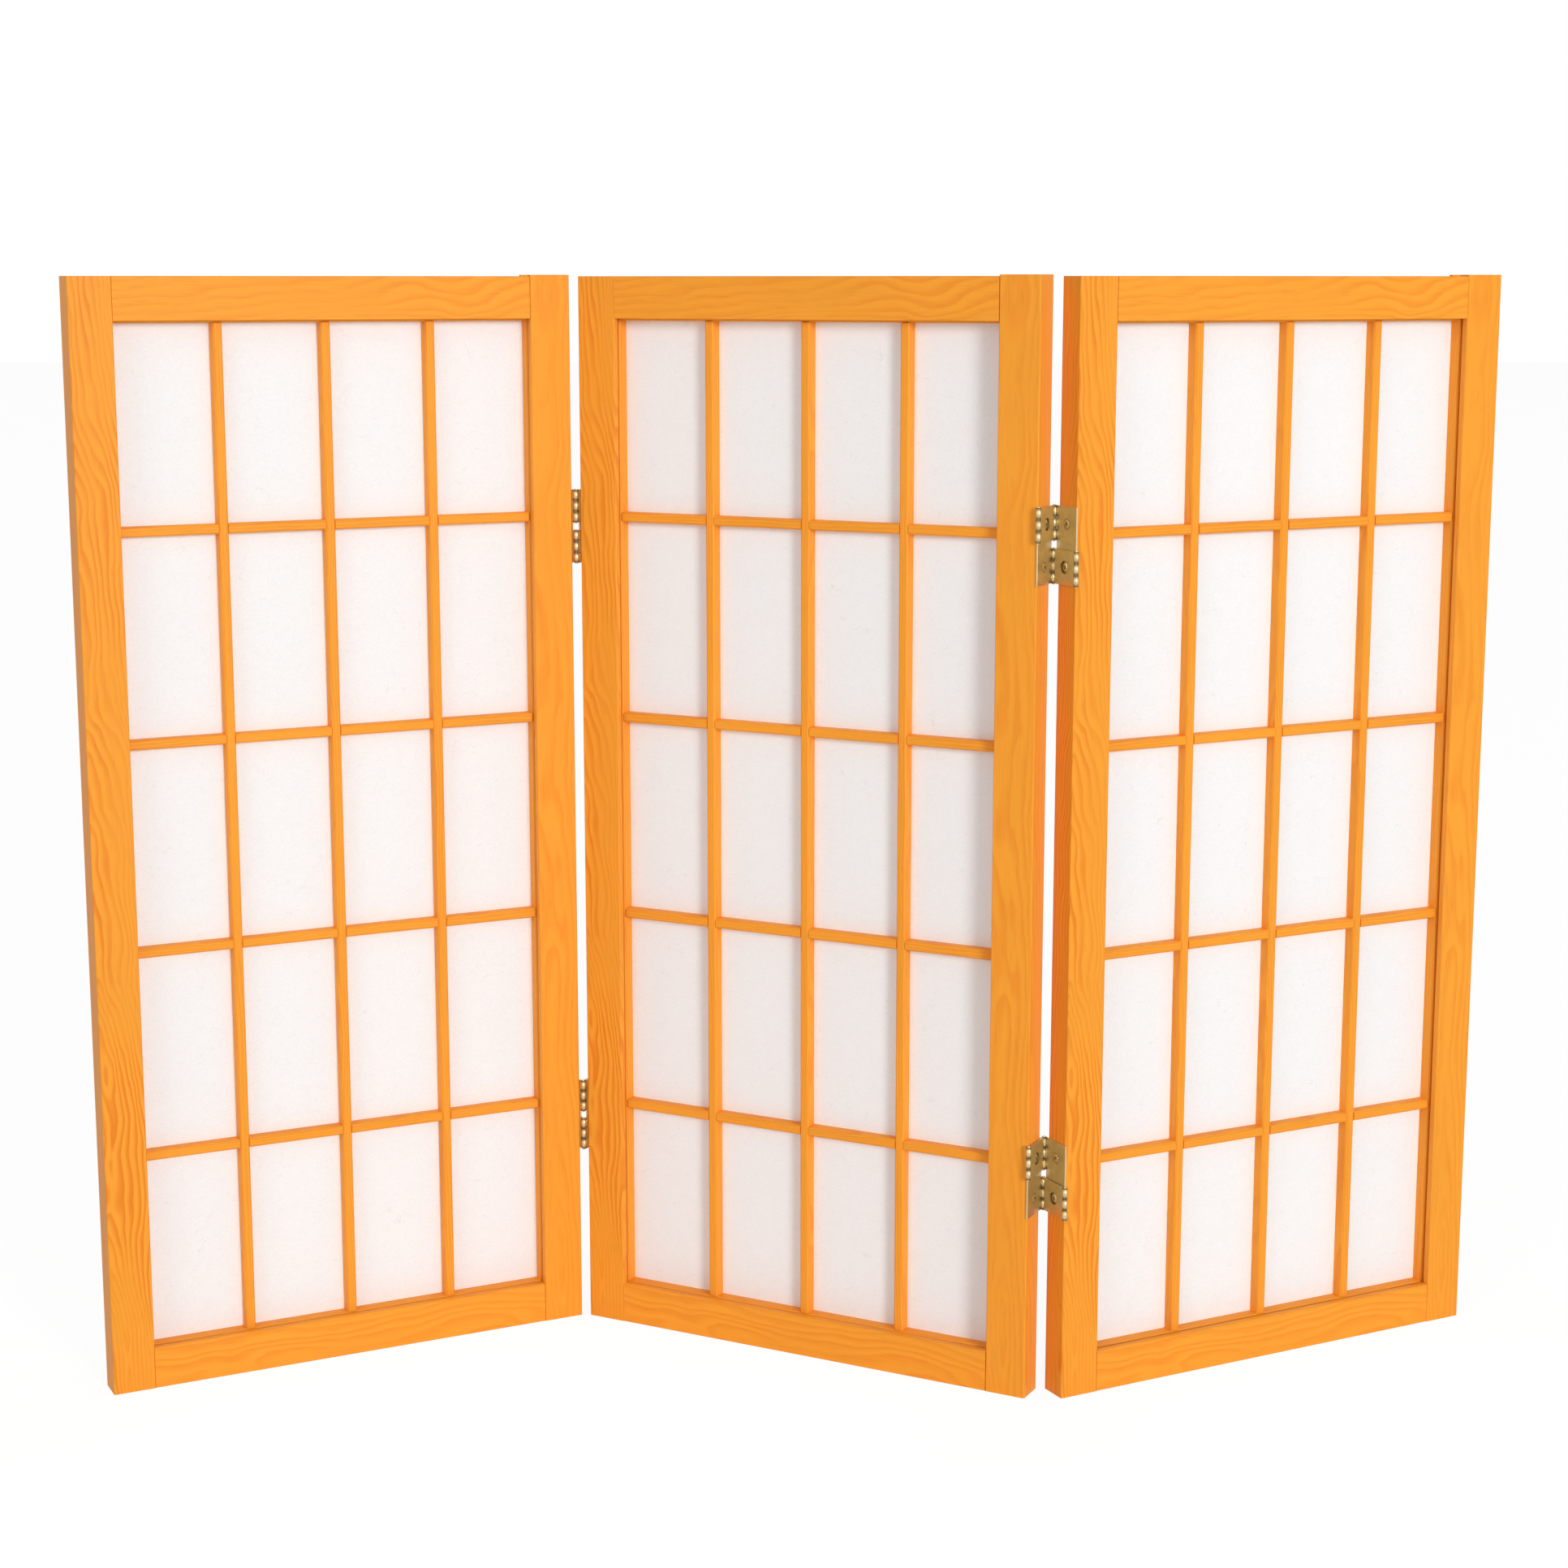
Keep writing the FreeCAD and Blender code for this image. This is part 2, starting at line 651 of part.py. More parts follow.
def screws(fold, owner):
    """The countersunk screws that hold one panel's leaves: two in each."""
    panel, turn = hinge_edges[fold][owner]
    body = new_body(f"{fold}_fold_{owner}_screws")
    face = (0, 0, size["plate_thickness"])
    head_depth = size["screw_head_radius"] - size["screw_shank_radius"]
    rings = [(0, height, size["screw_head_radius"]) for height in screw_heights()]
    head = pad(body, draw(body, "YZ_Plane", circles=rings, offset=face), head_depth, reverse=True)
    head.TaperAngle = -countersink_angle / 2
    rings = [(0, height, size["screw_shank_radius"]) for height in screw_heights()]
    shank_length = size["screw_length"] - size["screw_tip_length"]
    pad(body, draw(body, "YZ_Plane", circles=rings, offset=face), shank_length, reverse=True)
    point_start = (0, 0, size["plate_thickness"] - shank_length)
    sketch = draw(body, "YZ_Plane", circles=rings, offset=point_start)
    point = pad(body, sketch, size["screw_tip_length"], reverse=True)
    bind(point, TaperAngle=-tip_angle)
    slots = [cross_outline(height) for height in screw_heights()]
    pocket(body, draw(body, "YZ_Plane", slots, offset=face), size["slot_depth"])
    place_in_panel(body, panel, half_width, 0, 0, turn)


# The screen.
hinged_stiles = {("left", 1), ("centre", -1), ("centre", 1), ("right", -1)}
for panel in panels:
    low_tenon, high_tenon = tenon_heights()
    stile(panel, "left", -1, size["panel_height"], (panel, -1) in hinged_stiles)
    stile(panel, "right", 1, right_stile_top, (panel, 1) in hinged_stiles)
    rail(panel, "bottom", nowhere, size["rail_height"], low_tenon, 1)
    rail(panel, "top", size["panel_height"], opening_top, high_tenon, -1)
    side_edge_bar(panel, "left", -1)
    side_edge_bar(panel, "right", 1)
    level_edge_bar(panel, "bottom", panes_bottom, -1)
    level_edge_bar(panel, "top", panes_top, 1)
    uprights(panel)
    crossbars(panel)
    paper(panel)

for fold in hinge_edges:
    for level in hinge_levels:
        leaf(fold, level, "outer")
        leaf(fold, level, "centre")
        link(fold, level, "centre", 1)
        link(fold, level, "outer", -1)
    for owner in hinge_edges[fold]:
        pins(fold, owner)
        screws(fold, owner)

document.recompute()

# Checks and export.
for item in document.Objects:
    if "Invalid" in item.State or "Error" in item.State:
        raise RuntimeError(f"{item.Name} failed: {item.State}")

os.makedirs("parts", exist_ok=True)
for item in finished:
    shape = item.Shape
    if shape.isNull() or not shape.isValid():
        raise RuntimeError(f"{item.Label} has no valid shape")
    shape.exportStep(os.path.join("parts", item.Label + ".step"))
    print(item.Label, len(shape.Solids), "solids,", round(shape.Volume, 1), "mm3")
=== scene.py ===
import math
import bpy
import bmesh
from mathutils import Euler, Matrix, Vector


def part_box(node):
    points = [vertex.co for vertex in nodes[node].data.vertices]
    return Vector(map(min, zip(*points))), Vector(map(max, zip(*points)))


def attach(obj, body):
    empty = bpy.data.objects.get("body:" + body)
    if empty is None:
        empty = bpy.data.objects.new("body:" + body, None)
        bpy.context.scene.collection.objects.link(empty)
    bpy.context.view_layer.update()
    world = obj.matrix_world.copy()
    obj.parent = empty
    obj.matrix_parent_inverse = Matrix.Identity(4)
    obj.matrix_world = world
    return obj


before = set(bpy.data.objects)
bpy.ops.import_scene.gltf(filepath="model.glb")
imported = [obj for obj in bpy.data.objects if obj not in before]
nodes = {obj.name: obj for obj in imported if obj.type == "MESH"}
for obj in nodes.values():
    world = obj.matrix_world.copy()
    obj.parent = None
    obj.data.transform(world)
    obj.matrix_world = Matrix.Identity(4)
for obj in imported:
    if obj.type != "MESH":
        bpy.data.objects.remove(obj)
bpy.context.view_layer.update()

# A three-panel folding screen: lacquered softwood frames, lapped lattice bars over fibre paper,
# and dull brass double-action hinges. Lengths in metres, angles in degrees.

panelYaw = {"left": 26.4, "centre": -27.6, "right": 27.3}
edgeSamples = 4  # rays with which a shader rounds an edge
mergeDistance = 0.00001


# Node helpers.
def put(tree, socket, value):
    # links a socket, or sets a number or colour on it
    if isinstance(value, bpy.types.NodeSocket):
        tree.links.new(value, socket)
    else:
        socket.default_value = value


def addMath(tree, operation, first, second=0.0, third=0.0):
    node = tree.nodes.new("ShaderNodeMath")
    node.operation = operation
    for socket, value in zip(node.inputs, (first, second, third)):
        put(tree, socket, value)
    return node.outputs[0]


def addVectorMath(tree, operation, first, second):
    node = tree.nodes.new("ShaderNodeVectorMath")
    node.operation = operation
    put(tree, node.inputs[0], first)
    put(tree, node.inputs[1], second)
    return node.outputs[0]


def stretched(tree, vector, factors):
    # the vector with each axis scaled, for noise that runs longer one way
    return addVectorMath(tree, "MULTIPLY", vector, factors)


def addDrift(tree, vector, seed, factors, amount):
    # a smooth random shift of at most about half the amount each way
    shift = addNoise(tree, stretched(tree, vector, factors), seed, 1.0, 0.45, "Color")
    shift = addVectorMath(tree, "SUBTRACT", shift, (0.5, 0.5, 0.5))
    node = tree.nodes.new("ShaderNodeVectorMath")
    node.operation = "SCALE"
    put(tree, node.inputs[0], shift)
    put(tree, node.inputs["Scale"], amount)
    return node.outputs[0]


def addNoise(tree, vector, seed, detail=2.0, roughness=0.5, output="Fac"):
    node = tree.nodes.new("ShaderNodeTexNoise")
    node.noise_dimensions = "4D"
    put(tree, node.inputs["Vector"], vector)
    put(tree, node.inputs["W"], seed)
    node.inputs["Scale"].default_value = 1.0
    node.inputs["Detail"].default_value = detail
    node.inputs["Roughness"].default_value = roughness
    return node.outputs[output]


def addRange(tree, value, low, high, newLow=0.0, newHigh=1.0, smooth=True):
    node = tree.nodes.new("ShaderNodeMapRange")
    node.interpolation_type = "SMOOTHSTEP" if smooth else "LINEAR"
    for name, number in (("Value", value), ("From Min", low), ("From Max", high),
                         ("To Min", newLow), ("To Max", newHigh)):
        put(tree, node.inputs[name], number)
    return node.outputs["Result"]


def addMix(tree, factor, first, second, blend="MIX"):
    node = tree.nodes.new("ShaderNodeMix")
    node.data_type = "RGBA"
    node.blend_type = blend
    # the colour sockets carry the same names as the number sockets
    for socket, value in ((node.inputs[0], factor), (node.inputs[6], first), (node.inputs[7], second)):
        put(tree, socket, value)
    return node.outputs[2]


def newGroup(name, inputs, outputs):
    group = bpy.data.node_groups.new(name, "ShaderNodeTree")
    kinds = {"vector": "NodeSocketVector", "colour": "NodeSocketColor", "number": "NodeSocketFloat"}
    for label, kind, value in inputs:
        socket = group.interface.new_socket(name=label, in_out="INPUT", socket_type=kinds[kind])
        if value is not None:
            socket.default_value = value
    for label, kind in outputs:
        group.interface.new_socket(name=label, in_out="OUTPUT", socket_type=kinds[kind])
    return group, group.nodes.new("NodeGroupInput"), group.nodes.new("NodeGroupOutput")


def newMaterial(name):
    material = bpy.data.materials.new(name)
    material.use_nodes = True
    tree = material.node_tree
    tree.nodes.clear()
    output = tree.nodes.new("ShaderNodeOutputMaterial")
    shader = tree.nodes.new("ShaderNodeBsdfPrincipled")
    tree.links.new(shader.outputs["BSDF"], output.inputs["Surface"])
    return material, tree, shader


def useGroup(tree, group, **values):
    # places a group, with its inputs named in camelCase
    node = tree.nodes.new("ShaderNodeGroup")
    node.node_tree = group
    for label, value in values.items():
        put(tree, node.inputs[label], value)
    return node


def localCoordinates(tree, centre, turn):
    # object coordinates measured from a member's middle, along its own axes
    coordinates = tree.nodes.new("ShaderNodeTexCoord")
    mapping = tree.nodes.new("ShaderNodeMapping")
    mapping.vector_type = "TEXTURE"
    mapping.inputs["Location"].default_value = centre
    mapping.inputs["Rotation"].default_value = turn
    tree.links.new(coordinates.outputs["Object"], mapping.inputs["Vector"])
    return mapping.outputs["Vector"]


def addRelief(tree, shader, height, distance, edgeRadius):
    # a bump over edges that are eased by edgeRadius
    eased = tree.nodes.new("ShaderNodeBevel")
    eased.samples = edgeSamples
    eased.inputs["Radius"].default_value = edgeRadius
    bump = tree.nodes.new("ShaderNodeBump")
    bump.inputs["Distance"].default_value = distance
    put(tree, bump.inputs["Height"], height)
    tree.links.new(eased.outputs["Normal"], bump.inputs["Normal"])
    tree.links.new(bump.outputs["Normal"], shader.inputs["Normal"])


def dress(node, material):
    # gives a carried-over part its finish
    slots = nodes[node].data.materials
    slots.clear()
    slots.append(material)


# Wood: each kind of member has its own grain, and all three panels share it.
woodPlan = {
    "early": (0.948, 0.360, 0.029, 1.0),
    "late": (0.830, 0.228, 0.012, 1.0),
    # scales: noise per metre across, through and along a member
    "wanderScale": (9.0, 9.0, 5.0),
    "waveScale": (24.0, 24.0, 15.0),
    "rippleScale": (80.0, 80.0, 50.0),
    "ripple": 0.0016,
    "unevenScale": (75.0, 75.0, 5.0),
    "uneven": 2.2,  # the most ring widths that a ring's place shifts by
    # where in a ring the late wood sets in and where it ends, in shares of the ring's width
    "lateRise": (0.20, 0.80),
    "lateFall": (0.82, 1.0),
    "fadeScale": (40.0, 40.0, 9.0),
    "fadeRange": (0.3, 0.66),
    "palestRing": 0.25,
    "fibreScale": (1500.0, 1500.0, 45.0),
    "fibreShade": (0.975, 1.02),
    "fibreRelief": 0.35,
    "poreScale": (950.0, 950.0, 60.0),
    "poreRange": (0.64, 0.76),
    "poreSeed": 5.0,
    "poreShade": -0.05,
    "poreRelief": -0.5,
    "cloudScale": (26.0, 26.0, 9.0),
    "cloudShade": (-0.035, 0.030),
    "noiseRange": (0.25, 0.75),
    "roughness": 0.46,
    "earlyRougher": 0.05,
    "lateSmoother": 0.04,
    "specular": 0.20,
    "coat": 0.02,
    "coatRoughness": 0.25,
    "bump": 0.00010,
    "edgeRadius": 0.0004,
}
# across and depth: where the pith lies from the member's middle; contrast: of the ring lines
memberPlan = {
    "left_stile": {"seed": 3.1, "across": 0.030, "depth": 0.036, "lean": 0.060,
                   "ringWidth": 0.0038, "wander": 0.040, "wave": 0.018, "contrast": 1.00},
    "right_stile": {"seed": 8.4, "across": 0.006, "depth": 0.030, "lean": 0.020,
                    "ringWidth": 0.0048, "wander": 0.036, "wave": 0.010, "contrast": 0.45},
    "top_rail": {"seed": 14.2, "across": 0.024, "depth": 0.034, "lean": 0.020,
                 "ringWidth": 0.0056, "wander": 0.050, "wave": 0.018, "contrast": 0.50},
    "bottom_rail": {"seed": 21.7, "across": -0.022, "depth": 0.034, "lean": -0.020,
                    "ringWidth": 0.0056, "wander": 0.050, "wave": 0.018, "contrast": 0.50},
    "left_edge_bar": {"seed": 27.3, "across": 0.026, "depth": 0.030, "lean": 0.010,
                      "ringWidth": 0.0026, "wander": 0.012, "wave": 0.004, "contrast": 0.50},
    "right_edge_bar": {"seed": 31.9, "across": -0.026, "depth": 0.030, "lean": 0.010,
                       "ringWidth": 0.0026, "wander": 0.012, "wave": 0.004, "contrast": 0.50},
    "top_edge_bar": {"seed": 36.5, "across": 0.026, "depth": 0.030, "lean": 0.010,
                     "ringWidth": 0.0026, "wander": 0.012, "wave": 0.004, "contrast": 0.50},
    "bottom_edge_bar": {"seed": 42.8, "across": -0.026, "depth": 0.030, "lean": 0.010,
                        "ringWidth": 0.0026, "wander": 0.012, "wave": 0.004, "contrast": 0.50},
    "upright_bars": {"seed": 47.1, "across": 0.160, "depth": 0.030, "lean": 0.010,
                     "ringWidth": 0.0026, "wander": 0.016, "wave": 0.004, "contrast": 0.50},
    "crossbars": {"seed": 53.6, "across": 0.460, "depth": 0.030, "lean": 0.010,
                  "ringWidth": 0.0026, "wander": 0.016, "wave": 0.004, "contrast": 0.50},
}
levelMembers = ("bottom_rail", "top_rail", "bottom_edge_bar", "top_edge_bar", "crossbars")


def makeGrainGroup(plan):
    # growth rings round a leaning pith, cut by whichever face shows them
    group, entry, leave = newGroup(
        "softwoodGrain",
        [("vector", "vector", None), ("seed", "number", 0.0), ("across", "number", 0.0),
         ("depth", "number", 0.03), ("lean", "number", 0.0), ("ringWidth", "number", 0.003),
         ("wander", "number", 0.01), ("wave", "number", 0.01), ("contrast", "number", 1.0),
         ("early", "colour", None), ("late", "colour", None)],
        [("colour", "colour"), ("late", "number"), ("height", "number")],
    )
    given = entry.outputs
    vector, seed = given["vector"], given["seed"]
    moved = vector
    for scale, amount in (("wanderScale", given["wander"]), ("waveScale", given["wave"]),
                          ("rippleScale", plan["ripple"])):
        drift = addDrift(group, vector, seed, plan[scale], amount)
        moved = addVectorMath(group, "ADD", moved, drift)
    parts = group.nodes.new("ShaderNodeSeparateXYZ")
    put(group, parts.inputs[0], moved)
    across, depth, along = parts.outputs
    across = addMath(group, "ADD", across, given["across"])
    across = addMath(group, "MULTIPLY_ADD", along, given["lean"], across)
    depth = addMath(group, "ADD", depth, given["depth"])
    depth = addMath(group, "MULTIPLY_ADD", along, given["lean"], depth)
    radius = addMath(group, "SQRT", addMath(
        group, "ADD", addMath(group, "MULTIPLY", across, across),
        addMath(group, "MULTIPLY", depth, depth)))
    rings = addMath(group, "DIVIDE", radius, given["ringWidth"])
    # rings are not evenly wide
    uneven = addNoise(group, stretched(group, moved, plan["unevenScale"]), seed, 1.0)
    rings = addMath(group, "MULTIPLY_ADD", uneven, plan["uneven"], rings)
    phase = addMath(group, "FRACT", rings)
    rise = addRange(group, phase, *plan["lateRise"])
    fall = addRange(group, phase, *plan["lateFall"], 1.0, 0.0)
    late = addMath(group, "MULTIPLY", rise, fall)
    # some rings are paler than others, and fade along their length
    fade = addNoise(group, stretched(group, vector, plan["fadeScale"]), seed, 1.0)
    fade = addRange(group, fade, *plan["fadeRange"], plan["palestRing"], 1.0)
    late = addMath(group, "MULTIPLY", late, fade)
    late = addMath(group, "MULTIPLY", late, given["contrast"])
    fibre = addNoise(group, stretched(group, vector, plan["fibreScale"]), seed, 2.0, 0.6)
    pore = addNoise(group, stretched(group, vector, plan["poreScale"]),
                    addMath(group, "ADD", seed, plan["poreSeed"]), 0.0)
    pore = addRange(group, pore, *plan["poreRange"])
    cloud = addNoise(group, stretched(group, vector, plan["cloudScale"]), seed, 2.0, 0.55)
    colour = addMix(group, late, given["early"], given["late"])
    shade = addMath(group, "ADD",
                    addRange(group, fibre, *plan["noiseRange"], *plan["fibreShade"]),
                    addRange(group, cloud, *plan["noiseRange"], *plan["cloudShade"]))
    shade = addMath(group, "MULTIPLY_ADD", pore, plan["poreShade"], shade)
    tint = group.nodes.new("ShaderNodeCombineColor")
    for socket in tint.inputs:
        put(group, socket, shade)
    colour = addMix(group, 1.0, colour, tint.outputs[0], "MULTIPLY")
    put(group, leave.inputs["colour"], colour)
    put(group, leave.inputs["late"], late)
    height = addMath(group, "MULTIPLY_ADD", fibre, plan["fibreRelief"], late)
    height = addMath(group, "MULTIPLY_ADD", pore, plan["poreRelief"], height)
    put(group, leave.inputs["height"], height)
    return group


grainGroup = makeGrainGroup(woodPlan)


def makeWood(name, centre, turn, member, finish):
    material, tree, shader = newMaterial(name)
    grain = useGroup(tree, grainGroup, vector=localCoordinates(tree, centre, turn),
                     early=finish["early"], late=finish["late"], **member)
    put(tree, shader.inputs["Base Color"], grain.outputs["colour"])
    rough = addRange(tree, grain.outputs["late"], 0.0, 1.0,
                     finish["roughness"] + finish["earlyRougher"],
                     finish["roughness"] - finish["lateSmoother"], smooth=False)
    put(tree, shader.inputs["Roughness"], rough)
    shader.inputs["Specular IOR Level"].default_value = finish["specular"]
    shader.inputs["Coat Weight"].default_value = finish["coat"]
    shader.inputs["Coat Roughness"].default_value = finish["coatRoughness"]
    addRelief(tree, shader, grain.outputs["height"], finish["bump"], finish["edgeRadius"])
    return material


def memberTurn(yaw, level):
    # upright members run along Z, level ones along the panel
    upright = Matrix.Rotation(math.radians(yaw), 3, "Z")
    if not level:
        return upright.to_euler()
    laid = Matrix(((0, 0, 1), (0, 1, 0), (-1, 0, 0)))
    return (upright @ laid).to_euler()


def boxMiddle(node):
    low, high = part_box(node)
    return (low + high) / 2


for panel, yaw in panelYaw.items():
    for member, grain in memberPlan.items():
        node = f"{panel}_panel_{member}"
        turn = memberTurn(yaw, member in levelMembers)
        dress(node, makeWood("wood_" + node, boxMiddle(node), turn, grain, woodPlan))
print("wood finished")


# Paper: white pulp laminated with loose fibres.
paperPlan = {
    "pale": (0.975, 0.970, 0.968, 1.0),
    "deep": (0.930, 0.921, 0.917, 1.0),
    "fibre": (0.800, 0.775, 0.760, 1.0),
    "seeds": {"left": 12.4, "centre": 33.8, "right": 71.5},
    "cloudScale": 90.0,
    "fineScale": 900.0,
    "fineShare": 0.75,
    "pulpRange": (0.38, 0.62),
    # long and short loose fibres, which show only where a slower noise passes keep
    "fibres": ({"scale": 55.0, "width": 0.006, "keep": 0.60},
               {"scale": 120.0, "width": 0.010, "keep": 0.58}),
    "fibreStrength": 0.45,
    "fibreRelief": 0.5,
    "patchScale": 0.9,  # of a fibre's own scale
    "patchSeed": 11.0,
    "patchFade": 0.07,
    "roughness": 0.85,
    "specular": 0.25,
    "bump": 0.00010,
    "glow": 0.45,  # share of the light that spreads inside the sheet
    "glowReach": 0.0012,
    "glowTint": (1.0, 0.94, 0.86),
}


def makePaperGroup(plan):
    # cloudy pulp with sparse curling fibres
    group, entry, leave = newGroup(
        "fibrePaper",
        [("vector", "vector", None), ("seed", "number", 0.0), ("pale", "colour", None),
         ("deep", "colour", None), ("fibre", "colour", None)],
        [("colour", "colour"), ("height", "number")],
    )
    vector, seed = entry.outputs["vector"], entry.outputs["seed"]
    cloud = addNoise(group, stretched(group, vector, (plan["cloudScale"],) * 3), seed, 4.0, 0.65)
    fine = addNoise(group, stretched(group, vector, (plan["fineScale"],) * 3), seed, 2.0, 0.6)
    pulp = addMath(group, "MULTIPLY_ADD", fine, plan["fineShare"],
                   addMath(group, "MULTIPLY", cloud, 1.0 - plan["fineShare"]))
    colour = addMix(group, addRange(group, pulp, *plan["pulpRange"]),
                    entry.outputs["deep"], entry.outputs["pale"])
    height = pulp
    for fibre in plan["fibres"]:
        line = addNoise(group, stretched(group, vector, (fibre["scale"],) * 3), seed, 1.0, 0.5)
        line = addMath(group, "ABSOLUTE", addMath(group, "SUBTRACT", line, 0.5))
        line = addRange(group, line, 0.0, fibre["width"], 1.0, 0.0)
        patchScale = fibre["scale"] * plan["patchScale"]
        patch = addNoise(group, stretched(group, vector, (patchScale,) * 3),
                         addMath(group, "ADD", seed, plan["patchSeed"]), 0.0)
        patch = addRange(group, patch, fibre["keep"], fibre["keep"] + plan["patchFade"])
        line = addMath(group, "MULTIPLY", line, patch)
        colour = addMix(group, addMath(group, "MULTIPLY", line, plan["fibreStrength"]), colour,
                        entry.outputs["fibre"])
        height = addMath(group, "MULTIPLY_ADD", line, plan["fibreRelief"], height)
    put(group, leave.inputs["colour"], colour)
    put(group, leave.inputs["height"], height)
    return group


paperGroup = makePaperGroup(paperPlan)
for panel, yaw in panelYaw.items():
    node = f"{panel}_panel_paper"
    material, tree, shader = newMaterial("paper_" + panel)
    vector = localCoordinates(tree, boxMiddle(node), memberTurn(yaw, False))
    pulp = useGroup(tree, paperGroup, vector=vector, seed=paperPlan["seeds"][panel],
                    pale=paperPlan["pale"], deep=paperPlan["deep"], fibre=paperPlan["fibre"])
    put(tree, shader.inputs["Base Color"], pulp.outputs["colour"])
    shader.inputs["Roughness"].default_value = paperPlan["roughness"]
    shader.inputs["Specular IOR Level"].default_value = paperPlan["specular"]
    shader.inputs["Subsurface Weight"].default_value = paperPlan["glow"]
    shader.inputs["Subsurface Radius"].default_value = paperPlan["glowTint"]
    shader.inputs["Subsurface Scale"].default_value = paperPlan["glowReach"]
    bump = tree.nodes.new("ShaderNodeBump")
    bump.inputs["Distance"].default_value = paperPlan["bump"]
    put(tree, bump.inputs["Height"], pulp.outputs["height"])
    tree.links.new(bump.outputs["Normal"], shader.inputs["Normal"])
    dress(node, material)
print("paper finished")


# Brass: drawn, brushed and dulled.
brassPlan = {
    "bright": (0.710, 0.572, 0.320, 1.0),
    "dull": (0.615, 0.478, 0.252, 1.0),
    # the colour of the painted shade round holes and between knuckles
    "grime": (0.200, 0.125, 0.050, 1.0),
    "patinaScale": (130.0, 130.0, 130.0),
    "drawnScale": (2600.0, 2600.0, 160.0),
    "drawnShare": 0.3,
    "patinaShare": 0.7,
    "patinaRange": (0.34, 0.66),
    "ringFade": (0.0001, 0.0007),  # metres from the line round a hole
    # how dark the painted shade on the line round a hole is
    "ringPaintedShade": 0.75,
    # painted shade, darkening towards the joints between knuckles
    "waistRange": (0.0, 0.75),
    "waistPaintedShade": 0.85,
    "barrelStart": 0.0002,  # metres over which the barrel begins
    "roughness": 0.36,
    "patinaRougher": 0.10,
    # how much rougher the metal is where shade is painted
    "grimeRougher": 0.15,
    "drawnRelief": 0.6,
    "relief": 0.008,  # of the knuckles' own relief
    "bump": 0.0014,
    "edgeRadius": 0.00025,
}
screwPlan = dict(brassPlan, bright=(0.86, 0.70, 0.42, 1.0), dull=(0.74, 0.57, 0.31, 1.0),
                 roughness=0.24, bump=0.0004)
# the dirt that stays in a cross slot
# dark brass for the cross slots: painted shade in the slot
crossPlan = dict(brassPlan, bright=(0.24, 0.16, 0.07, 1.0), dull=(0.16, 0.10, 0.04, 1.0))
hingePlan = {
    "levels": {"upper": 0.7051, "lower": 0.1864},  # hinge middles above the floor
    "edgeToAxis": 0.00225,  # panel edge to the barrel axes
    "axisDepth": 0.0163,  # panel mid-depth to the barrel axes
    "plateEnd": 0.0141,  # beyond this depth there is only barrel
    "panelWidth": 0.4191,
    "barrelShift": 0.0172,  # hinge middle to a barrel's middle
    "barrelLength": 0.0276,
    "knucklePitch": 0.0093,
    "screwShift": 0.0170,  # hinge middle to a screw
    "screwRing": 0.0040,
    "accessRing": 0.0048,
    "seedStep": 3.7,
    "headSeed": 5.3,
}


